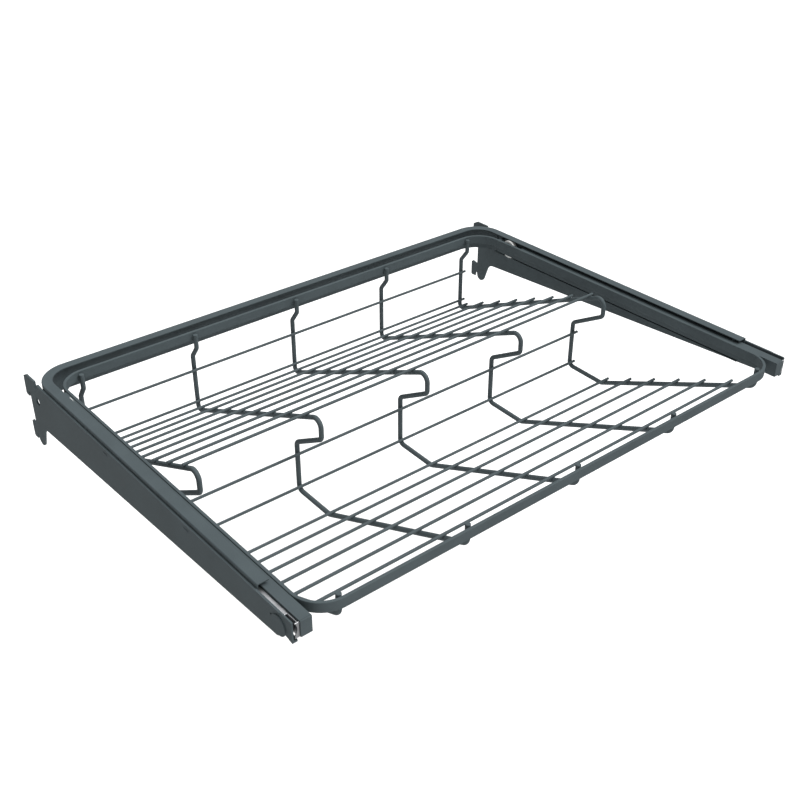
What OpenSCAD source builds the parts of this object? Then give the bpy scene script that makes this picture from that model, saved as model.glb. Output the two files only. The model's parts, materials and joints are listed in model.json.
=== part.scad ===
// Pull-out wire shoe rack that hangs by hooks between two slotted wall standards.
// Origin: on the face of the standards, midway between the brackets, at the seat of the upper hooks.
// +X runs to the right, +Z up, and the tray pulls out along -Y.

/* [Rack] */
// Width over the two bracket plates
rack_w = 605; // [560:1:900]
// Reach of the tray rim from the standards' face
rim_reach = 452.3; // [430:0.1:520]
// Distance that the tray pulls out
travel = 320; // [100:5:320]

/* [Bracket plates] */
// Sheet thickness of a bracket plate
plate_t = 2; // [1.5:0.1:2.4]
// Reach of a bracket plate from the standards' face
plate_reach = 449; // [440:1:500]
// Height of the plate's top edge over the upper hook seat
plate_top = 17.2; // [16:0.1:19]
// Depth of the plate's lower edge at its rear end
plate_heel = 32.2; // [28:0.1:40]
// Depth of the plate's lower edge at its front end
plate_toe = 7.8; // [6:0.1:12]
// Distance between the seats of the two hooks
hook_pitch = 50; // [48:0.5:56]
// Projection of the hooks behind the standards' face
hook_out = 10.5; // [8:0.5:14]
// Width of the slot between a hook and the plate
hook_slot = 3.2; // [2.2:0.1:4]
// Length of a hook's lip below its seat
hook_lip = 5.5; // [3:0.5:8]
// Radius of the pressed boss round the front roller pin
boss_r = 9.4; // [7:0.1:11]

/* [Cover frame] */
// Sheet thickness of the cover frame
cover_t = 1; // [0.6:0.1:1.4]
// Width of the cover frame's top flange
cover_w = 10.6; // [9:0.1:13]
// Depth of the lip along the cover frame's outer edge
cover_lip_h = 6; // [4:0.1:6.2]
// Height of the cover frame's top face over the hook seat
cover_top = 21.2; // [20.8:0.1:24]
// Depth of the cover frame's back wall
cover_wall_h = 28.7; // [15:0.1:34]
// Outer radius of the cover frame's rear corners
cover_r = 33.5; // [28:0.5:45]
// Gap between the cover frame's side edge and the bracket plate
cover_side_gap = 1; // [0.8:0.1:1.4]
// Gap between the cover frame and the standards' face
cover_back_gap = 2.3; // [1:0.1:4]
// Length of the cover frame's arms from its back face
cover_len = 400.7; // [395:0.1:410]

/* [Tray rim] */
// Thickness of the flat bar
rim_t = 3; // [2:0.5:4]
// Height of the flat bar
rim_h = 10; // [8:0.5:12]
// Outer corner radius of the rim
rim_r = 29.5; // [18:0.5:34]
// Gap between the rim and the standards' face at the back
rim_back_gap = 19.7; // [18:0.1:24]
// Height of the rim's top edge over the hook seat
rim_top = 18; // [15:0.5:19]

/* [Profile wires] */
// Diameter of the profile wires
profile_d = 5; // [4:0.5:6]
// Number of profile wires
profile_count = 5; // [3:1:5]
// Distance between neighbouring profile wires
profile_pitch = 129; // [110:1:132]
// Depth of the rear shelf's lowest bend below the hook seat
base_drop = 82.5; // [70:0.5:95]
// Backward offset of the rear riser from the wire's welded top
jog_out = 10.4; // [8:0.1:12]
// Horizontal length of the rear shelf
rear_run = 233.2; // [200:0.1:240]
// Slope of the rear shelf
rear_slope = 24.1; // [15:0.1:25]
// Height of the drop at the front of the rear shelf
drop_h = 24; // [22:0.5:30]
// Horizontal length of the return below the rear shelf's front
return_run = 41.7; // [30:0.1:50]
// Fall of the return towards the front riser
return_fall = 24; // [10:0.5:26]
// Horizontal length of the floor run before the front shelf
floor_run = 49.7; // [30:0.1:60]
// Fall of the floor run
floor_fall = 2; // [0:0.5:4]
// Slope of the front shelf
front_slope = 23.7; // [15:0.1:24]

/* [Cross wires] */
// Diameter of the cross wires
cross_d = 3; // [2.5:0.5:4]
// Overhang of the cross wires past the outer profile wires' centres
cross_over = 3.5; // [3:0.5:8]
// Distance between cross wires on the rear shelf
rear_pitch = 31.65; // [28:0.05:33]
// Distance between cross wires on the front shelf
front_pitch = 34.2; // [30:0.1:36]
// Distance between cross wires on a riser
riser_pitch = 38.7; // [30:0.1:42]

/* [Side rails and rollers] */
// Width of a side rail
rail_w = 10.5; // [10:0.1:11]
// Height of a side rail
rail_h = 15.5; // [14:0.5:17]
// Wall of a side rail
rail_t = 1; // [0.8:0.1:1.2]
// Height of the side rail's top face over the hook seat
rail_top = 17; // [16:0.1:17.2]
// Radius of the front rollers
front_roller_r = 9.4; // [8:0.1:10]
// Radius of the rear rollers
rear_roller_r = 11; // [10:0.1:11.2]
// Radius of the roller pins
pin_r = 2; // [1.5:0.1:2.5]
// Radial running clearance of the rollers on their pins
pin_fit = 0.05; // [0.02:0.01:0.1]

/* [Hidden] */
graphite = [0.27, 0.30, 0.31];
zinc = [0.78, 0.79, 0.80];
nylon = [0.90, 0.90, 0.88];
black = [0.05, 0.05, 0.06];
$fn = 64;

// Overrun of every cut and the gap between welded or running parts
over = 1;
weld_gap = 0.1;
run_gap = 0.3;

// Side spacing, from the plate's inner face inwards
plate_out_x = rack_w / 2;
plate_in_x = plate_out_x - plate_t;
runner_t = 1;
runner_in_x = plate_in_x - runner_t;
track_t = 1;
track_rim_x = runner_in_x - run_gap;
track_w = 3.4;
rail_out_x = track_rim_x - track_w - weld_gap;
rail_in_x = rail_out_x - rail_w;
rim_x = rail_in_x - weld_gap;

// Rim and wire stations along the depth
rim_back_y = -rim_back_gap;
rim_front_y = -rim_reach;
wire_top_y = rim_back_y - rim_t - weld_gap - profile_d / 2;
riser_y = wire_top_y + jog_out;
rear_corner_y = riser_y - rear_run;
return_y = rear_corner_y + return_run;
floor_y = return_y - floor_run;
front_up_y = rim_front_y + rim_t + weld_gap + profile_d / 2;

// Wire heights
rim_bottom = rim_top - rim_h;
wire_top_drop = 2.5;
front_stand = 1.5;
jog_start_drop = 8.5;
jog_fall = 13.5;
wire_top_z = rim_top - wire_top_drop;
jog_top_z = rim_bottom - jog_start_drop;
jog_low_z = jog_top_z - jog_fall;
base_z = -base_drop;
rear_corner_z = base_z + rear_run * tan(rear_slope);
drop_z = rear_corner_z - drop_h;
return_z = drop_z - return_fall;
floor_rear_rise = 0.5;
floor_rear_z = base_z + floor_rear_rise;
floor_front_z = floor_rear_z - floor_fall;
front_low_z = floor_front_z + (floor_y - front_up_y) * tan(front_slope);
front_end_z = rim_top + front_stand;

// Bend radii of the profile wire, in the order of its corners
tight_bend = 5;
mid_bend = 6;
wide_bend = 8;
bend_lap = 0.2;
bend_thin = 0.02;
bend_radii = [0, tight_bend, tight_bend, tight_bend, wide_bend, mid_bend, mid_bend, mid_bend,
    wide_bend, wide_bend, 0];
profile_points = [
    [wire_top_y, wire_top_z],
    [wire_top_y, jog_top_z],
    [riser_y, jog_low_z],
    [riser_y, base_z],
    [rear_corner_y, rear_corner_z],
    [rear_corner_y, drop_z],
    [return_y, return_z],
    [return_y, floor_rear_z],
    [floor_y, floor_front_z],
    [front_up_y, front_low_z],
    [front_up_y, front_end_z]
];

// Cross wires lie on the shoe side of the profile wires
cross_lift = (profile_d + cross_d) / 2 + weld_gap;
cross_half = profile_pitch * (profile_count - 1) / 2 + cross_over;
rear_first = 12.9;
front_first = 9.1;
rear_riser_first = 13.9;
front_riser_first = 5.7;
riser_count = 2;
rear_length = rear_run / cos(rear_slope);
front_length = (floor_y - front_up_y) / cos(front_slope);
rear_end_margin = 20;
front_end_margin = 24;
rear_count = 1 + floor((rear_length - rear_first - rear_end_margin) / rear_pitch);
front_count = 1 + floor((front_length - front_first - front_end_margin) / front_pitch);

// Rails, tracks and rollers
rail_rear_y = -50;
rail_front_inset = 2;
rail_front_y = rim_front_y + rail_front_inset;
cap_face_t = 1.2;
cap_plug_len = 8;
cap_play = 0.2;
roller_gap = 0.4;
front_roller_w = 2.8;
front_roller_x = plate_in_x - roller_gap - front_roller_w;
front_roller_inset = 16.7;
front_roller_y = front_roller_inset - plate_reach;
front_roller_z = 3.9;
ledge_t = 1;
ledge_ahead = 4;
ledge_z = front_roller_z + front_roller_r + run_gap;
track_web_h = 13;
track_end_w = 4;
track_end_h = 14.4;
track_hollow_r = 8.3;
track_hollow = 2.1;
end_mid_share = 0.6;
track_rear_margin = 6;
rear_roller_w = 6;
rear_roller_y = -67.5;
rear_roller_clear = 0.5;
cover_under = cover_top - cover_t;
rear_roller_z = cover_under - rear_roller_clear - rear_roller_r;
lip_top_z = rear_roller_z - rear_roller_r - run_gap;
roller_slot_rear = 12.5;
roller_slot_front = 21.5;
roller_recess_r = 3.9;
roller_recess = 0.9;
pin_head_r = 3.4;
pin_head_t = 0.6;
hub_groove_r = 6.5;
hub_groove_w = 1.4;
hub_groove_depth = 0.5;

// Runner channel, its tongues through the plate, and the stop tabs
lip_w = 11;
runner_rear_y = -41;
runner_front_gap = 19.9;
runner_front_y = front_roller_y + front_roller_r + runner_front_gap;
runner_drop = 1.2;
stop_drop = 2.6;
stop_t = 1.2;
stop_w = 5;
stop_inset = 0.5;
stop_half = sqrt(pow(rear_roller_r, 2) - pow(cover_under - stop_drop - rear_roller_z, 2));
tongue_ys = [-163, -302];
tongue_w = 6;
tongue_h = 1.6;
tongue_z = 12.5;
tongue_proud = 0.4;
tongue_play = 0.3;

// Plate outline
heel_r = 12;
toe_inset = 18.5;
toe_y = plate_reach - toe_inset;
hook_top_z = 19.2;
hook_tip = 3;
hook_back_z = 15.7;
relief_y = 15.5;
relief_w = 5;
relief_depth = 7.2;
bump_h = 1;
bump_rise = 4.5;
lower_hook_h = 14;
lug_drop = 8.5;
lug_r = 6.5;
lug_inset = 0.5;
lug_lean = 20;
corner_r = 2;
toe_r = 6;
notch_inset = 9.2;
notch_y = plate_reach - notch_inset;
notch_z = -0.5;
nose_slope = 15;
nose_z = notch_z - notch_inset * tan(nose_slope);
tab_w = 3.2;
tab_len = 5.2;
boss_h = 0.8;
boss_y = -front_roller_y;
press_h = 0.5;
press_rear_inset = 27.5;
press_rear_y = plate_reach - press_rear_inset;
press_top_inset = 12.5;
press_top_y = plate_reach - press_top_inset;
press_z = 8.2;
sight_hole_r = 4.25;
sight_hole_y = 17;
sight_hole_z = -3;
arc_steps = 8;

// Turns a drawing in local X and Y into the depth and height plane, with thickness along +X
module side_plane() {
    rotate([90, 0, 90]) children();
}

module mirror_to(side) {
    if (side > 0) children();
    else mirror([1, 0, 0]) children();
}

function unit(v) = v / norm(v);
function turn_of(a, b, c) =
    let (d = unit(b - a), e = unit(c - b)) atan2(d[0] * e[1] - d[1] * e[0], d[0] * e[0] + d[1] * e[1]);
function tangent_of(pts, radii, i) = (i == 0 || i == len(pts) - 1) ? 0
    : radii[i] * tan(abs(turn_of(pts[i - 1], pts[i], pts[i + 1])) / 2);

// Round bar along a flat path whose inner corners are bent to the given radii
module bent_bar(pts, radii, d) {
    for (i = [0 : len(pts) - 2]) {
        dir = unit(pts[i + 1] - pts[i]);
        a = pts[i] + dir * (tangent_of(pts, radii, i) - (i > 0 ? bend_lap : 0));
        b = pts[i + 1] - dir * (tangent_of(pts, radii, i + 1) - (i < len(pts) - 2 ? bend_lap : 0));
        translate([a[0], a[1], 0])
            rotate([0, 0, atan2(dir[1], dir[0])])
                rotate([0, 90, 0]) cylinder(h = norm(b - a), d = d);
    }
    for (i = [1 : len(pts) - 2]) {
        turn = turn_of(pts[i - 1], pts[i], pts[i + 1]);
        way = turn > 0 ? 1 : -1;
        d1 = unit(pts[i] - pts[i - 1]);
        d2 = unit(pts[i + 1] - pts[i]);
        cut = tangent_of(pts, radii, i);
        centre = pts[i] - d1 * cut + [-d1[1], d1[0]] * way * radii[i];
        from = way > 0 ? pts[i] - d1 * cut - centre : pts[i] + d2 * cut - centre;
        translate([centre[0], centre[1], 0])
            rotate([0, 0, atan2(from[1], from[0])])
                rotate_extrude(angle = abs(turn)) translate([radii[i], 0]) circle(r = d / 2 - bend_thin);
    }
}

module profile_wire(index) {
    color(graphite)
        translate([(index - (profile_count - 1) / 2) * profile_pitch, 0, 0])
            side_plane() bent_bar(profile_points, bend_radii, profile_d);
}

// One straight cross wire at a depth and height
module cross_wire(y, z) {
    translate([-cross_half, y, z]) rotate([0, 90, 0]) cylinder(h = 2 * cross_half, d = cross_d);
}

module riser_row(y, first_z) {
    for (i = [0 : riser_count - 1]) cross_wire(y - cross_lift, first_z + i * riser_pitch);
}

module shelf_row(corner, slope, first, pitch, count) {
    for (i = [0 : count - 1]) {
        along = first + i * pitch;
        cross_wire(corner[0] - along * cos(slope) + cross_lift * sin(slope),
            corner[1] + along * sin(slope) + cross_lift * cos(slope));
    }
}

module rear_riser_wires() {
    color(graphite) riser_row(riser_y, base_z + rear_riser_first);
}

module rear_shelf_wires() {
    color(graphite) shelf_row([riser_y, base_z], rear_slope, rear_first, rear_pitch, rear_count);
}

module front_riser_wires() {
    color(graphite) riser_row(return_y, floor_rear_z + front_riser_first);
}

module front_shelf_wires() {
    color(graphite)
        shelf_row([floor_y, floor_front_z], front_slope, front_first, front_pitch, front_count);
}

// Rectangle with four round corners, from its left, front, right and back edges
module round_rect(left, front, right, back, r) {
    translate([left + r, front]) square([right - left - 2 * r, back - front]);
    translate([left, front + r]) square([right - left, back - front - 2 * r]);
    for (x = [left + r, right - r]) for (y = [front + r, back - r]) translate([x, y]) circle(r);
}

module tray_rim() {
    color(graphite) translate([0, 0, rim_bottom]) linear_extrude(rim_h) difference() {
        round_rect(-rim_x, rim_front_y, rim_x, rim_back_y, rim_r);
        round_rect(-rim_x + rim_t, rim_front_y + rim_t, rim_x - rim_t, rim_back_y - rim_t,
            rim_r - rim_t);
    }
}

// Outline of the cover frame drawn inwards by a step, square at its front end
module cover_outline(step, front_extra) {
    x = plate_in_x - cover_side_gap - step;
    back = -cover_back_gap - step;
    front = -cover_back_gap - cover_len - front_extra;
    r = cover_r - step;
    translate([-x + r, front]) square([2 * (x - r), back - front]);
    translate([-x, front]) square([2 * x, back - front - r]);
    for (side = [-1, 1]) translate([side * (x - r), back - r]) circle(r);
}

module cover_frame() {
    wall_front = -cover_back_gap - cover_r;
    color(graphite) {
        translate([0, 0, cover_under]) linear_extrude(cover_t) difference() {
            cover_outline(0, 0);
            cover_outline(cover_w, over);
        }
        translate([0, 0, cover_top - cover_wall_h]) linear_extrude(cover_wall_h) difference() {
            cover_outline(0, 0);
            cover_outline(cover_t, over);
            translate([-plate_out_x, wall_front - cover_len - over])
                square([rack_w, cover_len + over]);
        }
        translate([0, 0, cover_top - cover_lip_h]) linear_extrude(cover_lip_h) difference() {
            cover_outline(0, 0);
            cover_outline(cover_t, over);
        }
        for (side = [-1, 1]) {
            stop_at(side, rear_roller_y + stop_half + run_gap);
            stop_at(side, rear_roller_y - travel - stop_half - run_gap - stop_t);
        }
    }
}

// Stop tab that hangs from the flange in the path of the rear roller's top
module stop_at(side, y) {
    mirror_to(side)
        translate([plate_in_x - cover_side_gap - cover_w + stop_inset, y, cover_under - stop_drop])
            cube([stop_w, stop_t, stop_drop + cover_t / 2]);
}

module runner_channel(side) {
    len_y = runner_rear_y - runner_front_y;
    color(graphite) mirror_to(side) {
        translate([runner_in_x, runner_front_y, lip_top_z - runner_t])
            cube([runner_t, len_y, plate_top - runner_drop - lip_top_z + runner_t]);
        translate([plate_in_x - lip_w, runner_front_y, lip_top_z - runner_t])
            cube([lip_w, len_y, runner_t]);
        for (y = tongue_ys)
            translate([plate_in_x - runner_t, y - tongue_w / 2, tongue_z - tongue_h / 2])
                cube([runner_t + plate_t + tongue_proud, tongue_w, tongue_h]);
    }
}

// Points of an arc round a centre, from one angle to another
function arc(centre, r, from, to) =
    [for (i = [0 : arc_steps]) let (a = from + (to - from) * i / arc_steps)
        centre + r * [cos(a), sin(a)]];

// Points of the round that joins the lines from a corner to two others
function round_corner(a, corner, b, r) =
    let (u = unit(a - corner), v = unit(b - corner), half = acos(u * v) / 2)
    let (centre = corner + unit(u + v) * r / sin(half))
    let (p = corner + u * r / tan(half) - centre, q = corner + v * r / tan(half) - centre)
    let (start = atan2(p[1], p[0]), swing = atan2(p[0] * q[1] - p[1] * q[0], p * q))
    arc(centre, r, start, start + swing);

// Outline of a bracket plate in depth and height
module plate_outline() {
    lug = [-lug_r - lug_inset, -hook_pitch - lug_drop + lug_r];
    lug_side = lug + lug_r * [-cos(lug_lean), -sin(lug_lean)];
    heel_z = -plate_heel;
    heel = [lug_side[0] - (heel_z - lug_side[1]) * tan(lug_lean), heel_z];
    toe = [-toe_y, -plate_toe];
    notch = [-notch_y, notch_z];
    difference() {
        polygon(concat(
            [
                [0, 0],
                [hook_slot, 0],
                [hook_slot, -hook_lip]
            ],
            arc([hook_out - corner_r, -hook_lip + corner_r], corner_r, -90, 0),
            [
                [hook_out - corner_r / 2, hook_back_z],
                [hook_tip, hook_top_z],
                [-relief_y, hook_top_z],
                [-relief_y, plate_top - relief_depth / 2],
                [-relief_y - relief_w / 4, plate_top - relief_depth],
                [-relief_y - relief_w, plate_top - bump_h],
                [-relief_y - relief_w - bump_h, plate_top + bump_h],
                [-relief_y - relief_w - bump_rise, plate_top + bump_h],
                [-relief_y - 2 * relief_w - bump_rise, plate_top]
            ],
            round_corner([0, plate_top], [-plate_reach, plate_top], [-plate_reach, 0], corner_r / 2),
            [
                [-plate_reach, nose_z],
                notch
            ],
            round_corner(notch, toe, heel, toe_r),
            round_corner(toe, heel, lug_side, heel_r),
            arc(lug, lug_r, 180 + lug_lean, 360),
            [
                [0, -hook_pitch],
                [hook_slot, -hook_pitch],
                [hook_slot, -hook_pitch - hook_lip]
            ],
            arc([hook_out - corner_r, -hook_pitch - hook_lip + corner_r], corner_r, -90, 0),
            [
                [hook_out, -hook_pitch + lower_hook_h - corner_r],
                [hook_out - corner_r, -hook_pitch + lower_hook_h],
                [0, -hook_pitch + lower_hook_h - corner_r]
            ]
        ));
        translate([-sight_hole_y, sight_hole_z]) circle(sight_hole_r);
        for (y = tongue_ys) translate([y, tongue_z])
            square([tongue_w + 2 * tongue_play, tongue_h + 2 * tongue_play], center = true);
    }
}

// Front corner of the plate that is pressed in round the boss
module pressed_corner() {
    polygon([
        [-press_top_y, plate_top + over],
        [-press_rear_y, press_z],
        [-boss_y, front_roller_z],
        [-boss_y, -plate_heel],
        [-plate_reach - over, -plate_heel],
        [-plate_reach - over, plate_top + over]
    ]);
}

// Tab bent inwards along the plate's lower edge at its front end
module nose_tab() {
    rear_z = nose_z + tab_len * tan(nose_slope);
    translate([plate_in_x - tab_w, 0, 0])
        side_plane() linear_extrude(tab_w + plate_t / 2)
            polygon([
                [-plate_reach, nose_z],
                [-plate_reach, nose_z + plate_t],
                [-plate_reach + tab_len, rear_z + plate_t],
                [-plate_reach + tab_len, rear_z]
            ]);
}

module bracket_plate(side) {
    color(graphite) mirror_to(side) difference() {
        union() {
            difference() {
                translate([plate_in_x, 0, 0]) side_plane() linear_extrude(plate_t) plate_outline();
                translate([plate_out_x - press_h, 0, 0])
                    side_plane() linear_extrude(press_h + over) pressed_corner();
            }
            translate([plate_out_x - boss_h, front_roller_y, front_roller_z])
                rotate([0, 90, 0]) cylinder(h = 2 * boss_h, r = boss_r);
            nose_tab();
        }
        translate([plate_in_x - over, front_roller_y, front_roller_z])
            rotate([0, 90, 0]) cylinder(h = over + boss_h, r = boss_r - boss_h);
    }
}

// Headed pin of a front roller, welded to the inner face of the plate's boss
module front_roller_pin(side) {
    head_x = front_roller_x + run_gap / 2;
    color(zinc) mirror_to(side) translate([0, front_roller_y, front_roller_z])
        rotate([0, 90, 0]) {
            translate([0, 0, head_x]) cylinder(h = plate_in_x + boss_h - head_x, r = pin_r);
            translate([0, 0, head_x]) cylinder(h = pin_head_t, r = pin_head_r);
        }
}

module front_roller(side) {
    color(black) mirror_to(side) translate([front_roller_x, front_roller_y, front_roller_z])
        rotate([0, 90, 0]) difference() {
            cylinder(h = front_roller_w, r = front_roller_r);
            translate([0, 0, -over]) cylinder(h = front_roller_w + 2 * over, r = pin_r + pin_fit);
            translate([0, 0, -over]) cylinder(h = over + roller_recess, r = roller_recess_r);
            translate([0, 0, front_roller_w - hub_groove_depth]) difference() {
                cylinder(h = hub_groove_depth + over, r = hub_groove_r + hub_groove_w / 2);
                translate([0, 0, -over])
                    cylinder(h = hub_groove_depth + 3 * over, r = hub_groove_r - hub_groove_w / 2);
            }
        }
}

module side_rail(side) {
    bottom = rail_top - rail_h;
    length = rail_rear_y - rail_front_y;
    slot_len = roller_slot_rear + roller_slot_front;
    color(graphite) mirror_to(side) difference() {
        translate([rail_in_x, rail_front_y, bottom]) cube([rail_w, length, rail_h]);
        translate([rail_in_x + rail_t, rail_front_y - over, bottom + rail_t])
            cube([rail_w - 2 * rail_t, length + 2 * over, rail_h - 2 * rail_t]);
        translate([(rail_in_x + rail_out_x - rear_roller_w) / 2 - run_gap,
            rear_roller_y - roller_slot_front, bottom - over])
            cube([rear_roller_w + 2 * run_gap, slot_len, rail_h + 2 * over]);
        translate([rail_in_x - over, rear_roller_y, rear_roller_z])
            rotate([0, 90, 0]) cylinder(h = rail_w + 2 * over, r = pin_r + pin_fit);
    }
}

module rail_cap(side) {
    bottom = rail_top - rail_h;
    inset = rail_t + cap_play;
    color(graphite) mirror_to(side) {
        translate([rail_in_x, rail_front_y - cap_face_t, bottom])
            cube([rail_w, cap_face_t, rail_h]);
        translate([rail_in_x + inset, rail_front_y - cap_face_t, bottom + inset])
            cube([rail_w - 2 * inset, cap_face_t + cap_plug_len, rail_h - 2 * inset]);
    }
}

// Zinc track along the outside of a rail, whose ledge rides on the front roller
module track(side) {
    rear = rear_roller_y - roller_slot_front - track_rear_margin;
    ledge_front = front_roller_y - ledge_ahead;
    low_z = ledge_z + ledge_t - track_web_h;
    color(zinc) mirror_to(side) translate([rail_out_x + weld_gap, 0, 0]) {
        translate([0, rail_front_y, low_z])
            cube([track_t, rear - rail_front_y, track_web_h]);
        translate([0, ledge_front, ledge_z])
            cube([track_w, rear - ledge_front, ledge_t]);
        translate([0, rail_front_y, low_z]) difference() {
            cube([track_end_w, track_t, track_end_h]);
            translate([track_end_w + track_hollow_r - track_hollow, -over, track_end_h * end_mid_share])
                rotate([-90, 0, 0]) cylinder(h = track_t + 2 * over, r = track_hollow_r);
        }
    }
}

module rear_roller_axle(side) {
    color(zinc) mirror_to(side) translate([0, rear_roller_y, rear_roller_z])
        rotate([0, 90, 0]) {
            translate([0, 0, rail_in_x]) cylinder(h = rail_w + pin_head_t, r = pin_r);
            translate([0, 0, rail_out_x]) cylinder(h = pin_head_t, r = pin_head_r);
        }
}

module rear_roller(side) {
    x = (rail_in_x + rail_out_x - rear_roller_w) / 2;
    color(nylon) mirror_to(side) translate([x, rear_roller_y, rear_roller_z])
        rotate([0, 90, 0]) difference() {
            cylinder(h = rear_roller_w, r = rear_roller_r);
            translate([0, 0, -over]) cylinder(h = rear_roller_w + 2 * over, r = pin_r + 2 * pin_fit);
        }
}

bracket_plate(-1);  // left_bracket_plate
bracket_plate(1);  // right_bracket_plate
cover_frame();
runner_channel(-1);  // left_runner_channel
runner_channel(1);  // right_runner_channel
front_roller_pin(-1);  // left_front_roller_pin
front_roller_pin(1);  // right_front_roller_pin
front_roller(-1);  // left_front_roller
front_roller(1);  // right_front_roller
tray_rim();
profile_wire(0);  // profile_wire_1
profile_wire(1);  // profile_wire_2
profile_wire(2);  // profile_wire_3
profile_wire(3);  // profile_wire_4
profile_wire(4);  // profile_wire_5
rear_riser_wires();
rear_shelf_wires();
front_riser_wires();
front_shelf_wires();
side_rail(-1);  // left_side_rail
side_rail(1);  // right_side_rail
rail_cap(-1);  // left_rail_cap
rail_cap(1);  // right_rail_cap
track(-1);  // left_track
track(1);  // right_track
rear_roller_axle(-1);  // left_rear_roller_axle
rear_roller_axle(1);  // right_rear_roller_axle
rear_roller(-1);  // left_rear_roller
rear_roller(1);  // right_rear_roller
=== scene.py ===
"""Pull-out wire shoe rack: looks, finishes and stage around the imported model.

Metres, +X to the right, +Z up, and the tray pulls out along -Y.
"""
import json
import math

import bpy
from bpy.props import FloatProperty, FloatVectorProperty, IntProperty, PointerProperty
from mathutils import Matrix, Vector

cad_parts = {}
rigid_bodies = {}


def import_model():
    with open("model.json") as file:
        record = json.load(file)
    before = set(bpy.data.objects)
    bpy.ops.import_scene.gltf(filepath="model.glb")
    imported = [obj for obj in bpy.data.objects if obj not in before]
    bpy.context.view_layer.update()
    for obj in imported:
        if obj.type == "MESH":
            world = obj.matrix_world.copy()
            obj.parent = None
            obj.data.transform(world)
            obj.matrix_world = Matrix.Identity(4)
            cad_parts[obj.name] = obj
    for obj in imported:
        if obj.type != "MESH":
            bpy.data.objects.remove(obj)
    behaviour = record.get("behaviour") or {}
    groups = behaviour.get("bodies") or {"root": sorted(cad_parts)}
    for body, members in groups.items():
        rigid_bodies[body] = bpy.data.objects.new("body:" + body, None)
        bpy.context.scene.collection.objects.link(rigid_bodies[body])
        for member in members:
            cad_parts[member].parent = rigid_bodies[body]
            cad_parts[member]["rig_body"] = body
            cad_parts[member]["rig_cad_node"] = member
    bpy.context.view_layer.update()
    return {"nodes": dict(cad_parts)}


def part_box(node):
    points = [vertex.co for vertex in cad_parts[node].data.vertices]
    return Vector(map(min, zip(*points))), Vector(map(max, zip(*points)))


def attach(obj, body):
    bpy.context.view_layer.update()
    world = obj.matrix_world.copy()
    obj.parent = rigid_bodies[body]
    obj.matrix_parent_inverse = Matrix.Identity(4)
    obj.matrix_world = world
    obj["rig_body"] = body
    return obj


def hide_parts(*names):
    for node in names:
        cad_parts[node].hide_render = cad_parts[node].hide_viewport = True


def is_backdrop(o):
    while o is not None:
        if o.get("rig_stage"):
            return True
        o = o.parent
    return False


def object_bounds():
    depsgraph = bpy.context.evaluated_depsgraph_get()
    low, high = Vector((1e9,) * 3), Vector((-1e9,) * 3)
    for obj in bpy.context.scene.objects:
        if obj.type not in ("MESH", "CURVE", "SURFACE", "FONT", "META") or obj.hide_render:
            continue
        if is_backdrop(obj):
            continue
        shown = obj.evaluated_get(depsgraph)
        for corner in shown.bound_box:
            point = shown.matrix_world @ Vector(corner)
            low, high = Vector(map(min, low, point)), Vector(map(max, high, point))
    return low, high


bl_info = {
    "name": "Pull-out wire shoe rack",
    "version": (1, 0, 0),
    "blender": (4, 5, 0),
    "location": "View3D > Sidebar > Shoe rack",
    "description": "Builds the detailed pieces, finishes and stage of a pull-out wire shoe rack",
    "category": "Object",
}

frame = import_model()
MM = 0.001
SIDES = ("left", "right")


# Settings


class RackSizes(bpy.types.PropertyGroup):
    """Edge and weld sizes of the rack's pieces."""

    plate_edge: FloatProperty(
        name="Plate edge", description="Rounding along cut edges of plates, runners and tracks",
        default=0.0003, min=0, unit="LENGTH")
    boss_round: FloatProperty(
        name="Boss rounding", description="Rounding of the pressed boss at its crown",
        default=0.0007, min=0, unit="LENGTH")
    cover_edge: FloatProperty(
        name="Cover edge", description="Rounding along the cover frame's edges",
        default=0.00035, min=0, unit="LENGTH")
    cover_bend: FloatProperty(
        name="Cover bend", description="Outer radius of the bend between flange and lip",
        default=0.0012, min=0, unit="LENGTH")
    cover_reach: FloatProperty(
        name="Cover reach", description="How far the cover's lips stand out towards the plates",
        default=0.0007, min=0, unit="LENGTH")
    bar_edge: FloatProperty(
        name="Rim edge", description="Rounding along the flat bar of the tray rim",
        default=0.0006, min=0, unit="LENGTH")
    rail_edge: FloatProperty(
        name="Rail edge", description="Outer corner radius of the formed side rails and caps",
        default=0.0004, min=0, unit="LENGTH")
    wire_end: FloatProperty(
        name="Wire end", description="Chamfer at the cut ends of the wires",
        default=0.0004, min=0, unit="LENGTH")
    nugget: FloatProperty(
        name="Weld nugget", description="Size of the weld nuggets where wires cross",
        default=0.0009, min=0, unit="LENGTH")
    bead: FloatProperty(
        name="Weld bead", description="Radius of the weld beads at the tray rim",
        default=0.001, min=0, unit="LENGTH")
    wire_sides: IntProperty(
        name="Wire facets", description="Facets round a profile wire", default=24, min=8)


class RackColours(bpy.types.PropertyGroup):
    """Colours of the rack's finishes."""

    graphite: FloatVectorProperty(
        name="Graphite", description="Powder coat on the steel", subtype="COLOR", size=3,
        default=(0.06, 0.076, 0.082), min=0, max=1)
    zinc: FloatVectorProperty(
        name="Zinc", description="Bright zinc on tracks and pins", subtype="COLOR", size=3,
        default=(0.66, 0.67, 0.69), min=0, max=1)
    nylon: FloatVectorProperty(
        name="White nylon", description="White nylon of the rear rollers", subtype="COLOR",
        size=3, default=(0.62, 0.63, 0.62), min=0, max=1)
    # Near-black colour of the front rollers: painted shade that makes the opening at the front of
    # each track look deeply shaded
    shade_black: FloatVectorProperty(
        name="Painted shade nylon", description="Painted shade nylon of the front rollers", subtype="COLOR",
        size=3, default=(0.008, 0.008, 0.009), min=0, max=1)
    floor: FloatVectorProperty(
        name="Floor", description="Stage floor", subtype="COLOR", size=3,
        default=(0.92, 0.92, 0.92), min=0, max=1)


def sizes():
    """The rack's sizes as they are set in the scene."""
    return bpy.context.scene.rack_sizes


def colours():
    """The rack's colours as they are set in the scene."""
    return bpy.context.scene.rack_colours


# Finishes

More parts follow.
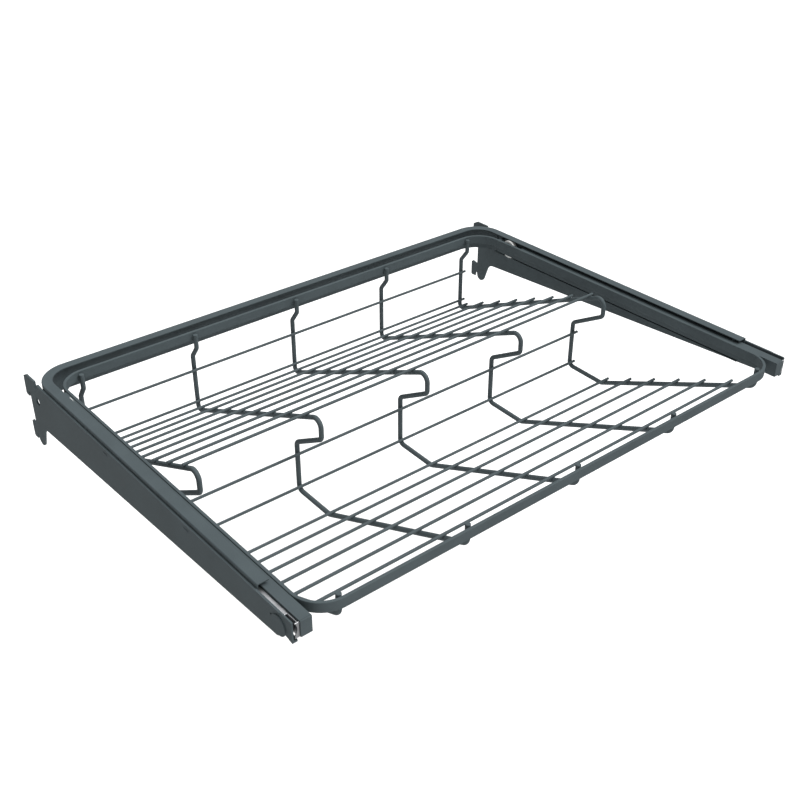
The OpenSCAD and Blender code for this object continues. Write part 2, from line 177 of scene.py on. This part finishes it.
# Places of a Mix node's factor and colour sockets, whose names it gives to others as well
MIX_FACTOR, MIX_FIRST, MIX_SECOND, MIX_RESULT = 0, 6, 7, 2


class Field:
    """A value on its way through a material's nodes, with sums and products."""

    def __init__(self, finish, socket):
        self.finish = finish
        self.socket = socket

    def maths(self, operation, other):
        return self.finish.node("ShaderNodeMath", {"operation": operation}, {0: self, 1: other})

    def __add__(self, other):
        return self.maths("ADD", other)

    def __mul__(self, other):
        return self.maths("MULTIPLY", other)

    __radd__ = __add__
    __rmul__ = __mul__


class Finish:
    """A node-based finish that reads the object's own coordinates."""

    def __init__(self, name):
        self.material = bpy.data.materials.new("rack_" + name)
        self.material.use_nodes = True
        self.tree = self.material.node_tree
        self.shader = self.tree.nodes["Principled BSDF"]
        self.place = self.node("ShaderNodeTexCoord", out="Object")

    def node(self, kind, settings=None, values=None, out=0):
        """Adds a node, makes its settings, and feeds its sockets with values or links."""
        made = self.tree.nodes.new(kind)
        for key, value in (settings or {}).items():
            setattr(made, key, value)
        for key, value in (values or {}).items():
            self.feed(made.inputs[key], value)
        return Field(self, made.outputs[out])

    def feed(self, socket, value):
        if isinstance(value, Field):
            self.tree.links.new(value.socket, socket)
        else:
            socket.default_value = value

    def stretched(self, scale):
        return self.node("ShaderNodeMapping", None, {"Vector": self.place, "Scale": scale})

    def noise(self, scale, detail=2.0, roughness=0.5, where=None):
        return self.node("ShaderNodeTexNoise", None, {
            "Vector": where or self.place, "Scale": scale, "Detail": detail,
            "Roughness": roughness})

    def spread(self, value, low, high):
        """The value's middle part between low and high drawn out to 0..1."""
        return self.node("ShaderNodeMapRange", {"clamp": True}, {
            "Value": value, "From Min": low, "From Max": high})

    def blend(self, factor, first, second):
        """The first colour where the factor is 0, and the second where it is 1."""
        made = self.tree.nodes.new("ShaderNodeMix")
        made.data_type = "RGBA"
        self.feed(made.inputs[MIX_FACTOR], factor)
        self.feed(made.inputs[MIX_FIRST], (*first, 1.0))
        self.feed(made.inputs[MIX_SECOND], (*second, 1.0))
        return Field(self, made.outputs[MIX_RESULT])

    def bump(self, height, strength, depth):
        return self.node("ShaderNodeBump", None, {
            "Height": height, "Strength": strength, "Distance": depth})

    def set(self, **values):
        """Feeds the shader's sockets, named with _ for a space, and returns the material."""
        for key, value in values.items():
            self.feed(self.shader.inputs[key.replace("_", " ")], value)
        return self.material


def shade(colour, factor):
    """A colour made darker or lighter by a factor."""
    return tuple(channel * factor for channel in colour)


def graphite_finish():
    """Satin powder coat: fine orange peel, slight mottling, and patches dulled by handling."""
    finish = Finish("graphite_coat")
    colour = tuple(colours().graphite)
    mottle = finish.spread(finish.noise(scale=38.0, detail=3.0), low=0.35, high=0.65)
    grain = finish.spread(finish.noise(scale=1900.0, roughness=0.6), low=0.3, high=0.7)
    peel = finish.noise(scale=900.0, roughness=0.55)
    tone = finish.blend(mottle * 0.5 + grain * 0.5, shade(colour, 0.9), shade(colour, 1.1))
    handled = finish.spread(
        finish.noise(scale=9.0, detail=4.0, roughness=0.6), low=0.45, high=0.7)
    return finish.set(
        Base_Color=tone,
        Roughness=0.5 + 0.07 * mottle + 0.05 * handled + 0.03 * grain,
        Normal=finish.bump(peel * 0.75 + grain * 0.25, strength=0.16, depth=0.00025),
        Specular_IOR_Level=0.12)


def zinc_finish():
    """Bright zinc on rolled steel: rolling lines along the travel and faint spangle."""
    finish = Finish("zinc_plate")
    colour = tuple(colours().zinc)
    along_y = finish.stretched((2600.0, 22.0, 2600.0))
    lines = finish.noise(scale=1.0, detail=3.0, roughness=0.6, where=along_y)
    spangle = finish.spread(finish.noise(scale=210.0, detail=1.0), low=0.35, high=0.65)
    tone = finish.blend(spangle * 0.6 + lines * 0.4, shade(colour, 0.94), colour)
    return finish.set(
        Base_Color=tone, Metallic=1.0,
        Roughness=0.32 + 0.06 * spangle + 0.06 * lines,
        Normal=finish.bump(lines, strength=0.1, depth=0.00008))


def nylon_finish(name, colour):
    """Moulded nylon, slightly mottled and duller where it has run."""
    finish = Finish(name)
    cloud = finish.spread(finish.noise(scale=160.0, detail=3.0), low=0.35, high=0.65)
    across_x = finish.stretched((3000.0, 260.0, 260.0))
    rings = finish.noise(scale=1.0, detail=3.0, roughness=0.6, where=across_x)
    rub = finish.spread(rings, low=0.4, high=0.7)
    tone = finish.blend(cloud * 0.5 + rub * 0.5, colour, shade(colour, 0.88))
    return finish.set(
        Base_Color=tone,
        Roughness=0.36 + 0.12 * rub,
        Normal=finish.bump(cloud * 0.4 + rub * 0.6, strength=0.08, depth=0.0001),
        Specular_IOR_Level=0.5)


def floor_finish():
    """Matt white studio floor."""
    finish = Finish("studio_floor")
    colour = tuple(colours().floor)
    cloud = finish.spread(finish.noise(scale=1.6), low=0.3, high=0.7)
    return finish.set(
        Base_Color=finish.blend(cloud, colour, shade(colour, 0.99)), Roughness=0.85)


FINISH_MAKERS = {
    "graphite_coat": graphite_finish,
    "zinc_plate": zinc_finish,
    "white_nylon": lambda: nylon_finish("white_nylon", tuple(colours().nylon)),
    # The front rollers' near-black nylon is painted shade for the openings at the front of the
    # tracks
    "black_nylon": lambda: nylon_finish("black_nylon", tuple(colours().shade_black)),
    "studio_floor": floor_finish,
}


def finish_named(name):
    """The finish of that name, made when it is first asked for."""
    return bpy.data.materials.get("rack_" + name) or FINISH_MAKERS[name]()


# Modelling tools

# Points this near are one point, and faces with less than this bend between them are one face
SAME_POINT = 0.001 * MM
SAME_FACE = math.radians(0.6)

# Edges of sheet metal with more than this bend are rounded
SHARP_EDGE = math.radians(40)

# Faces with less than this bend between them shade as one surface
SMOOTH_SHEET = math.radians(32)
SMOOTH_WIRE = math.radians(40)
SMOOTH_WELD = math.radians(60)

# Segments across an edge of sheet metal, an edge of the rim's bar, the boss's crown, the cover
# frame's bend and the chamfer of a cross wire
SHEET_STEPS, BAR_STEPS, BOSS_STEPS, COVER_STEPS, END_STEPS = 2, 3, 4, 5, 2

# Facets round a roller and a cross wire
ROLLER_SIDES = 64
CROSS_SIDES = 16

# A bend in a wire has a step for every so many degrees, and no fewer steps than this
STEP_DEGREES = 9
FEWEST_STEPS = 3


def pick_none():
    """Leaves edit mode and deselects everything."""
    if bpy.context.object and bpy.context.object.mode != "OBJECT":
        bpy.ops.object.mode_set(mode="OBJECT")
    bpy.ops.object.select_all(action="DESELECT")


def pick(thing):
    """Makes an object the only selected one."""
    pick_none()
    thing.select_set(True)
    bpy.context.view_layer.objects.active = thing


def edit(thing, choose="SELECT"):
    """Enters edit mode with all of the mesh or none of it selected."""
    pick(thing)
    bpy.ops.object.mode_set(mode="EDIT")
    bpy.ops.mesh.select_all(action=choose)


def leave_edit():
    bpy.ops.object.mode_set(mode="OBJECT")


def apply_place(thing):
    """Puts an object's place, turn and scale into its mesh."""
    pick(thing)
    bpy.ops.object.transform_apply(location=True, rotation=True, scale=True)


def settle(thing, name, finish, smooth=SMOOTH_SHEET):
    """Puts a piece's place into its mesh, names it, and gives it its finish and shading."""
    apply_place(thing)
    thing.name = name
    thing.data.name = name
    thing.data.materials.clear()
    thing.data.materials.append(finish_named(finish))
    bpy.ops.object.shade_smooth_by_angle(angle=smooth)
    return thing


def hand_over(piece, body, slot, *nodes):
    """Rides a piece on its body and lets it stand for the CAD nodes."""
    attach(piece, body)
    if nodes:
        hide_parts(*nodes)


def merge(things):
    """Joins like objects into the first."""
    pick(things[0])
    for thing in things[1:]:
        thing.select_set(True)
    bpy.ops.object.join()
    return bpy.context.object


def copy_to(thing, offset):
    """A copy with its own mesh, moved by an offset."""
    pick(thing)
    bpy.ops.object.duplicate(linked=False)
    copied = bpy.context.object
    copied.location = thing.location + Vector(offset)
    return copied


def close_skin():
    """Merges the doubled points of the mesh in edit mode, turns its faces out and leaves it."""
    bpy.ops.mesh.select_all(action="SELECT")
    bpy.ops.mesh.remove_doubles(threshold=SAME_POINT)
    bpy.ops.mesh.normals_make_consistent(inside=False)
    leave_edit()


def round_edges(piece, chosen, width, segments):
    """Bevels the edges whose two ends both pass the test."""
    edit(piece, "DESELECT")
    leave_edit()
    points = piece.data.vertices
    for edge in piece.data.edges:
        edge.select = all(chosen(points[end].co) for end in edge.vertices)
    bpy.ops.object.mode_set(mode="EDIT")
    bpy.ops.mesh.bevel(offset=width, segments=segments, affect="EDGES", clamp_overlap=False)
    leave_edit()


def soften(node, name, width, finish, segments=SHEET_STEPS, wider=None):
    """A copy of a sheet metal node with rounded edges.

    The argument wider holds the test, width and segments of edges that are rounded first.
    """
    pick(frame["nodes"][node])
    bpy.ops.object.duplicate(linked=False)
    piece = bpy.context.object
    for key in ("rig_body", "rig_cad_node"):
        del piece[key]
    piece.parent = None
    edit(piece)
    bpy.ops.mesh.remove_doubles(threshold=SAME_POINT)
    bpy.ops.mesh.dissolve_limited(angle_limit=SAME_FACE)
    leave_edit()
    if wider:
        round_edges(piece, *wider)
    rounding = piece.modifiers.new("rounding", "BEVEL")
    rounding.width = width
    rounding.segments = segments
    rounding.limit_method = "ANGLE"
    rounding.angle_limit = SHARP_EDGE
    bpy.ops.object.modifier_apply(modifier="rounding")
    settle(piece, name, finish)
    evening = piece.modifiers.new("evening", "WEIGHTED_NORMAL")
    evening.keep_sharp = True
    bpy.ops.object.modifier_apply(modifier="evening")
    return piece


def turned(name, section, centre, finish):
    """A body of revolution about an X line through a point, from (x, radius) pairs."""
    pick_none()
    bpy.ops.mesh.primitive_circle_add(
        vertices=len(section), radius=1.0, location=centre, fill_type="NOTHING")
    piece = bpy.context.object
    for vertex, (x, radius) in zip(piece.data.vertices, section):
        vertex.co = (x, 0.0, radius)
    edit(piece)
    bpy.ops.mesh.spin(
        steps=ROLLER_SIDES, angle=2 * math.pi, center=centre, axis=(1, 0, 0), dupli=False)
    close_skin()
    return settle(piece, name, finish)


def push(offset):
    """Extrudes what is selected by an offset."""
    bpy.ops.mesh.extrude_region_move(TRANSFORM_OT_translate={"value": tuple(offset)})


def bent_wire(path, bends, radius, sides, chamfer):
    """A round wire along a path in the Y and Z plane, bent at its inner corners."""
    points = [Vector((0.0, y, z)) for y, z in path]
    ways = [(b - a).normalized() for a, b in zip(points, points[1:])]
    first, last = ways[0], ways[-1]
    end_r = radius - chamfer
    pick_none()
    bpy.ops.mesh.primitive_circle_add(
        vertices=sides, radius=end_r, fill_type="NGON", location=points[0],
        rotation=(math.atan2(-first.y, first.z), 0.0, 0.0))
    piece = bpy.context.object
    edit(piece)
    push(first * chamfer)
    bpy.ops.transform.resize(value=(radius / end_r,) * 3)
    at = points[0] + first * chamfer
    for way, after, corner, bend in zip(ways, ways[1:], points[1:], bends):
        turn = math.atan2(way.cross(after).x, way.dot(after))
        cut = bend * math.tan(abs(turn) / 2)
        end = corner - way * cut
        push(end - at)
        side = Vector((0.0, -way.z, way.y)) * (1 if turn > 0 else -1)
        bpy.ops.mesh.spin(
            steps=max(FEWEST_STEPS, round(abs(math.degrees(turn)) / STEP_DEGREES)),
            angle=-turn, center=end + side * bend, axis=(1, 0, 0), dupli=False)
        at = corner + after * cut
    push(points[-1] - last * chamfer - at)
    push(last * chamfer)
    bpy.ops.transform.resize(value=(end_r / radius,) * 3)
    close_skin()
    return piece


def straight_wire(half_length, radius, sides, chamfer):
    """A straight wire along X, its middle at the origin, with chamfered ends."""
    pick_none()
    bpy.ops.mesh.primitive_cylinder_add(
        vertices=sides, radius=radius, depth=2 * half_length, rotation=(0.0, math.pi / 2, 0.0))
    piece = bpy.context.object
    edit(piece, "DESELECT")
    leave_edit()
    for face in piece.data.polygons:
        face.select = len(face.vertices) == sides
    bpy.ops.object.mode_set(mode="EDIT")
    bpy.ops.mesh.region_to_loop()
    bpy.ops.mesh.bevel(offset=chamfer, segments=END_STEPS)
    leave_edit()
    apply_place(piece)
    return piece


def lump(centre, half_sizes):
    """A small rounded weld lump."""
    pick_none()
    bpy.ops.mesh.primitive_ico_sphere_add(subdivisions=2, radius=1.0, location=centre)
    piece = bpy.context.object
    piece.scale = half_sizes
    return piece


# Layout of the pieces


def size_of(node):
    """Middle and extent of a node of the frame."""
    low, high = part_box(node)
    return (low + high) / 2, high - low


WIRE_NODES = ["profile_wire_%d" % number for number in range(1, 6)]
ROW_NODES = ["rear_riser_wires", "rear_shelf_wires", "front_riser_wires", "front_shelf_wires"]
WIRE_X = [size_of(node)[0].x for node in WIRE_NODES]
PROFILE_R = size_of(WIRE_NODES[0])[1].x / 2
CROSS_HALF = size_of("rear_shelf_wires")[1].x / 2
COVER_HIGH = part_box("cover_frame")[1]

# Sizes of the solids that their boxes don't show
CROSS_R = 1.5 * MM
COVER_R = 33.5 * MM
RIM_T = 3 * MM
REAR_SLOPE = math.radians(24.1)
FRONT_SLOPE = math.radians(23.7)

# How near a point must lie to be on a flat face, on a round corner or on the same cross wire
ON_FACE = 0.02 * MM
ON_CORNER = 0.1 * MM
ON_WIRE = 4 * MM

# Half length and half thickness of a weld nugget for each unit of its size
NUGGET_LONG = 1.9
NUGGET_THICK = 1.15

# Weld beads at the rim: distance off the bar's inner face, and the heights of their two ends
# above the bar's lower edge
REAR_BEAD_OFF, REAR_BEAD_ENDS = 0.5 * MM, (1.5 * MM, 6.5 * MM)
FRONT_BEAD_OFF, FRONT_BEAD_ENDS = 0.4 * MM, (1.5 * MM, 8.5 * MM)

# Share of a profile wire's radius at which the beads lie beside it
BEAD_ASIDE = 0.86

# A roller's section: its bore, the shares of its radius at the hub's and the tyre's edges, the
# share of its half width that the dish is deep, and the share of its width that is rounded
BORE_R = 2.15 * MM
HUB_TOP, HUB_FOOT, TYRE_FOOT, TYRE_TOP = 0.3, 0.34, 0.74, 0.79
DISH_SHARE = 0.3
ROUND_SHARE = 0.192

# Middle point of a roller's rounded edge, in shares of the rounding from the side and the tread
ROUND_MID = (0.3125, 0.28125)


def on_cover_outline(point):
    """Whether a point lies on the outer edge of the cover frame's top face."""
    in_x, in_y = COVER_HIGH.x - abs(point.x), COVER_HIGH.y - point.y
    if point.z < COVER_HIGH.z - ON_FACE:
        return False
    if in_x < ON_FACE or in_y < ON_FACE:
        return True
    bend = math.hypot(COVER_R - in_x, COVER_R - in_y)
    return in_x < COVER_R and in_y < COVER_R and abs(bend - COVER_R) < ON_CORNER


def profile_path():
    """Corners of a profile wire as (y, z), from its welded rear top to its front top."""
    top_y, riser_y, rear_y, return_y, floor_y, front_y = (
        y * MM for y in (-25.3, -14.9, -248.1, -206.4, -256.1, -446.7))
    rear_top, neck, elbow, rear_base, floor_rear, floor_front, front_top, fall = (
        z * MM for z in (15.5, -0.5, -14.0, -82.5, -82.0, -84.0, 19.5, 24.0))
    crest = rear_base + (riser_y - rear_y) * math.tan(REAR_SLOPE)
    front_low = floor_front + (floor_y - front_y) * math.tan(FRONT_SLOPE)
    return [
        (top_y, rear_top), (top_y, neck), (riser_y, elbow), (riser_y, rear_base),
        (rear_y, crest), (rear_y, crest - fall), (return_y, crest - 2 * fall),
        (return_y, floor_rear), (floor_y, floor_front), (front_y, front_low),
        (front_y, front_top)]


# Bend radii at a profile wire's inner corners, from its rear top to its front
PROFILE_BENDS = [bend * MM for bend in (5, 5, 5, 8, 6, 6, 6, 8, 8)]


def into_profile(node):
    """Direction from a row's cross wires into the profile wires they are welded to."""
    if "riser" in node:
        return Vector((0.0, 1.0, 0.0))
    slope = REAR_SLOPE if "rear" in node else FRONT_SLOPE
    return Vector((0.0, -math.sin(slope), -math.cos(slope)))


def middle(values):
    """Halfway between the least and the greatest value."""
    return (min(values) + max(values)) / 2


def wires_of(node):
    """Middle of each cross wire of a row."""
    wires = []
    for vertex in frame["nodes"][node].data.vertices:
        point = vertex.co.copy()
        for wire in wires:
            if abs(wire[0].y - point.y) < ON_WIRE and abs(wire[0].z - point.z) < ON_WIRE:
                wire.append(point)
                break
        else:
            wires.append([point])
    return [
        Vector((0.0, middle([point.y for point in wire]), middle([point.z for point in wire])))
        for wire in wires]


def roller_section(extent):
    """Section of a roller as (x, radius), from its bore on the left to its bore on the right."""
    half, radius = extent.x / 2, extent.z / 2
    web = half - half * DISH_SHARE
    edge = extent.x * ROUND_SHARE
    mid_x, mid_r = ROUND_MID
    right = [
        (half, BORE_R), (half, radius * HUB_TOP), (web, radius * HUB_FOOT),
        (web, radius * TYRE_FOOT), (half, radius * TYRE_TOP), (half, radius - edge),
        (half - edge * mid_x, radius - edge * mid_r), (half - edge, radius)]
    return [(-x, r) for x, r in right] + right[::-1]


# Operators


class SHOERACK_OT_plates(bpy.types.Operator):
    """Bracket plates with rounded pressed edges"""

    bl_idname = "shoerack.plates"
    bl_label = "Bracket plates"

    def execute(self, context):
        for side in SIDES:
            node = side + "_bracket_plate"
            crown = max(abs(corner.x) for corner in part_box(node))
            piece = soften(
                node, side + "_plate_pressing", sizes().plate_edge, "graphite_coat",
                wider=(
                    lambda point: abs(point.x) > crown - ON_FACE, sizes().boss_round, BOSS_STEPS))
            hand_over(piece, "hanger", "graphite_coat", node)
        return {"FINISHED"}


class SHOERACK_OT_cover(bpy.types.Operator):
    """Cover frame and the runner channels below it"""

    bl_idname = "shoerack.cover"
    bl_label = "Cover frame"

    def execute(self, context):
        piece = soften(
            "cover_frame", "cover_sheet", sizes().cover_edge, "graphite_coat",
            wider=(on_cover_outline, sizes().cover_bend, COVER_STEPS))
        piece.scale.x += sizes().cover_reach / COVER_HIGH.x
        apply_place(piece)
        hand_over(piece, "hanger", "graphite_coat", "cover_frame")
        for side in SIDES:
            node = side + "_runner_channel"
            piece = soften(node, side + "_runner_sheet", sizes().plate_edge, "graphite_coat")
            hand_over(piece, "hanger", "graphite_coat", node)
        return {"FINISHED"}


class SHOERACK_OT_rim(bpy.types.Operator):
    """Flat bar rim of the tray"""

    bl_idname = "shoerack.rim"
    bl_label = "Tray rim"

    def execute(self, context):
        piece = soften("tray_rim", "rim_bar", sizes().bar_edge, "graphite_coat", BAR_STEPS)
        hand_over(piece, "tray", "graphite_coat", "tray_rim")
        return {"FINISHED"}


class SHOERACK_OT_rails(bpy.types.Operator):
    """Side rails, their end caps and the zinc tracks"""

    bl_idname = "shoerack.rails"
    bl_label = "Side rails"

    def execute(self, context):
        parts = (
            ("_side_rail", "_rail_box", "graphite_coat", sizes().rail_edge),
            ("_rail_cap", "_rail_end", "graphite_coat", sizes().rail_edge),
            ("_track", "_track_strip", "zinc_plate", sizes().plate_edge))
        for side in SIDES:
            for part, word, finish, width in parts:
                piece = soften(side + part, side + word, width, finish)
                hand_over(piece, "tray", finish, side + part)
        return {"FINISHED"}


class SHOERACK_OT_profile_wires(bpy.types.Operator):
    """Bent profile wires that carry the shelves"""

    bl_idname = "shoerack.profile_wires"
    bl_label = "Profile wires"

    def execute(self, context):
        pattern = bent_wire(
            profile_path(), PROFILE_BENDS, PROFILE_R, sizes().wire_sides, sizes().wire_end)
        for number, (node, x) in enumerate(zip(WIRE_NODES, WIRE_X), 1):
            wire = copy_to(pattern, (x, 0.0, 0.0))
            settle(wire, "bent_wire_%d" % number, "graphite_coat", SMOOTH_WIRE)
            hand_over(wire, "tray", "graphite_coat", node)
        bpy.data.objects.remove(pattern)
        return {"FINISHED"}


class SHOERACK_OT_cross_wires(bpy.types.Operator):
    """Thin cross wires of the risers and shelves"""

    bl_idname = "shoerack.cross_wires"
    bl_label = "Cross wires"

    def execute(self, context):
        pattern = straight_wire(CROSS_HALF, CROSS_R, CROSS_SIDES, sizes().wire_end)
        for node in ROW_NODES:
            row = merge([copy_to(pattern, spot) for spot in wires_of(node)])
            settle(row, node.replace("wires", "row"), "graphite_coat", SMOOTH_WIRE)
            hand_over(row, "tray", "graphite_coat", node)
        bpy.data.objects.remove(pattern)
        return {"FINISHED"}


class SHOERACK_OT_welds(bpy.types.Operator):
    """Weld nuggets at the crossings and beads at the rim"""

    bl_idname = "shoerack.welds"
    bl_label = "Welds"

    def execute(self, context):
        long, thick = sizes().nugget * NUGGET_LONG, sizes().nugget * NUGGET_THICK
        for node in ROW_NODES:
            lumps = []
            for spot in wires_of(node):
                centre = spot + into_profile(node) * CROSS_R
                for x in WIRE_X:
                    lumps.append(lump((x, centre.y, centre.z), (long, thick, thick)))
            self.finish_welds(lumps, node.replace("wires", "nuggets"))
        lumps = []
        bead = sizes().bead
        low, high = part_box("tray_rim")
        for y, (foot, top) in (
                (high.y - RIM_T - REAR_BEAD_OFF, REAR_BEAD_ENDS),
                (low.y + RIM_T + FRONT_BEAD_OFF, FRONT_BEAD_ENDS)):
            for x in WIRE_X:
                for aside in (-PROFILE_R * BEAD_ASIDE, PROFILE_R * BEAD_ASIDE):
                    lumps.append(lump(
                        (x + aside, y, low.z + (foot + top) / 2), (bead, bead, (top - foot) / 2)))
        self.finish_welds(lumps, "rim_beads")
        return {"FINISHED"}

    def finish_welds(self, lumps, name):
        piece = settle(merge(lumps), name, "graphite_coat", SMOOTH_WELD)
        hand_over(piece, "tray", "graphite_coat")


class SHOERACK_OT_rollers(bpy.types.Operator):
    """Turned nylon rollers and their zinc pins"""

    bl_idname = "shoerack.rollers"
    bl_label = "Rollers and pins"

    def execute(self, context):
        for side in SIDES:
            # The front rollers get the near-black nylon, painted shade for the openings at the
            # front of the tracks
            for place, finish in (("front", "black_nylon"), ("rear", "white_nylon")):
                node = "%s_%s_roller" % (side, place)
                centre, extent = size_of(node)
                piece = turned(node + "_wheel", roller_section(extent), centre, finish)
                hand_over(piece, "%s_%s_wheel" % (side, place), finish, node)
            for node in (side + "_front_roller_pin", side + "_rear_roller_axle"):
                bare = frame["nodes"][node]
                bare.data.materials.clear()
                bare.data.materials.append(finish_named("zinc_plate"))
        return {"FINISHED"}


# Stage

# Light that comes from the air all round, and the white that the camera sees of it
AIR_LIGHT = 0.4
AIR_WHITE = 1.0

# Kind, name, place, span (sun degrees or disk metres) and power of each lamp
LAMPS = [
    ("SUN", "key_lamp", (0.9, -0.9, 2.2), 50.0, 3.9),
    ("AREA", "top_lamp", (-0.2, 0.5, 2.4), 1.8, 12.0),
]

# Side of the square floor, and its distance below the rack
FLOOR_SIZE = 24.0
FLOOR_DROP = 0.3

# Camera place, turn in degrees, lens and sensor in millimetres, and how far it sees
CAMERA_PLACE = (-0.6186, -0.9533, 0.5677)
CAMERA_TURN = (58.369, 0.0, -39.616)
CAMERA_LENS = 50.0
CAMERA_SENSOR = 36.0
CAMERA_SIGHT = 60.0


def studio_air():
    """Soft white surroundings that the camera sees as plain white."""
    world = bpy.data.worlds.new("studio_air")
    world.use_nodes = True
    nodes, links = world.node_tree.nodes, world.node_tree.links
    seen = nodes.new("ShaderNodeLightPath")
    strength = nodes.new("ShaderNodeMix")
    strength.inputs["A"].default_value = AIR_LIGHT
    strength.inputs["B"].default_value = AIR_WHITE
    links.new(seen.outputs["Is Camera Ray"], strength.inputs["Factor"])
    air = nodes["Background"]
    air.inputs["Color"].default_value = (1.0, 1.0, 1.0, 1.0)
    links.new(strength.outputs["Result"], air.inputs["Strength"])
    return world


def hang_lamp(kind, name, where, span, power):
    """A lamp that points at the origin."""
    bpy.ops.object.light_add(type=kind, location=where)
    lamp = bpy.context.object
    lamp.name = name
    lamp.rotation_euler = (-Vector(where)).to_track_quat("-Z", "Y").to_euler()
    lamp.data.energy = power
    if kind == "SUN":
        lamp.data.angle = math.radians(span)
    else:
        lamp.data.shape = "DISK"
        lamp.data.size = span


class SHOERACK_OT_stage(bpy.types.Operator):
    """White floor, soft studio light and the camera"""

    bl_idname = "shoerack.stage"
    bl_label = "Stage"

    def execute(self, context):
        pick_none()
        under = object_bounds()[0].z - FLOOR_DROP
        bpy.ops.mesh.primitive_plane_add(size=FLOOR_SIZE, location=(0, 0, under))
        floor = settle(bpy.context.object, "studio_floor", "studio_floor")
        floor.visible_glossy = False
        floor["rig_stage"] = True
        for lamp in LAMPS:
            hang_lamp(*lamp)
        context.scene.world = studio_air()
        context.scene.view_settings.view_transform = "Standard"
        pick_none()
        bpy.ops.object.camera_add(
            location=CAMERA_PLACE, rotation=[math.radians(turn) for turn in CAMERA_TURN])
        camera = bpy.context.object
        camera.name = "studio_camera"
        camera.data.lens = CAMERA_LENS
        camera.data.sensor_width = CAMERA_SENSOR
        camera.data.clip_end = CAMERA_SIGHT
        context.scene.camera = camera
        return {"FINISHED"}


# Panel and run

STEPS = [
    SHOERACK_OT_plates, SHOERACK_OT_cover, SHOERACK_OT_rim, SHOERACK_OT_rails,
    SHOERACK_OT_profile_wires, SHOERACK_OT_cross_wires, SHOERACK_OT_welds,
    SHOERACK_OT_rollers, SHOERACK_OT_stage,
]


class SHOERACK_PT_panel(bpy.types.Panel):
    """Sizes, colours and build steps of the shoe rack"""

    bl_idname = "SHOERACK_PT_panel"
    bl_label = "Shoe rack"
    bl_space_type = "VIEW_3D"
    bl_region_type = "UI"
    bl_category = "Shoe rack"

    def draw(self, context):
        for group in (context.scene.rack_sizes, context.scene.rack_colours):
            for key in group.bl_rna.properties.keys():
                if key not in ("rna_type", "name"):
                    self.layout.prop(group, key)
        for step in STEPS:
            self.layout.operator(step.bl_idname)


CLASSES = [RackSizes, RackColours, *STEPS, SHOERACK_PT_panel]


def register():
    for item in CLASSES:
        bpy.utils.register_class(item)
    bpy.types.Scene.rack_sizes = PointerProperty(type=RackSizes)
    bpy.types.Scene.rack_colours = PointerProperty(type=RackColours)


def unregister():
    del bpy.types.Scene.rack_colours
    del bpy.types.Scene.rack_sizes
    for item in reversed(CLASSES):
        bpy.utils.unregister_class(item)


def main():
    """Registers the add-on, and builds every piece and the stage."""
    register()
    for step in STEPS:
        group, name = step.bl_idname.split(".")
        getattr(getattr(bpy.ops, group), name)()


if __name__ == "__main__":
    main()
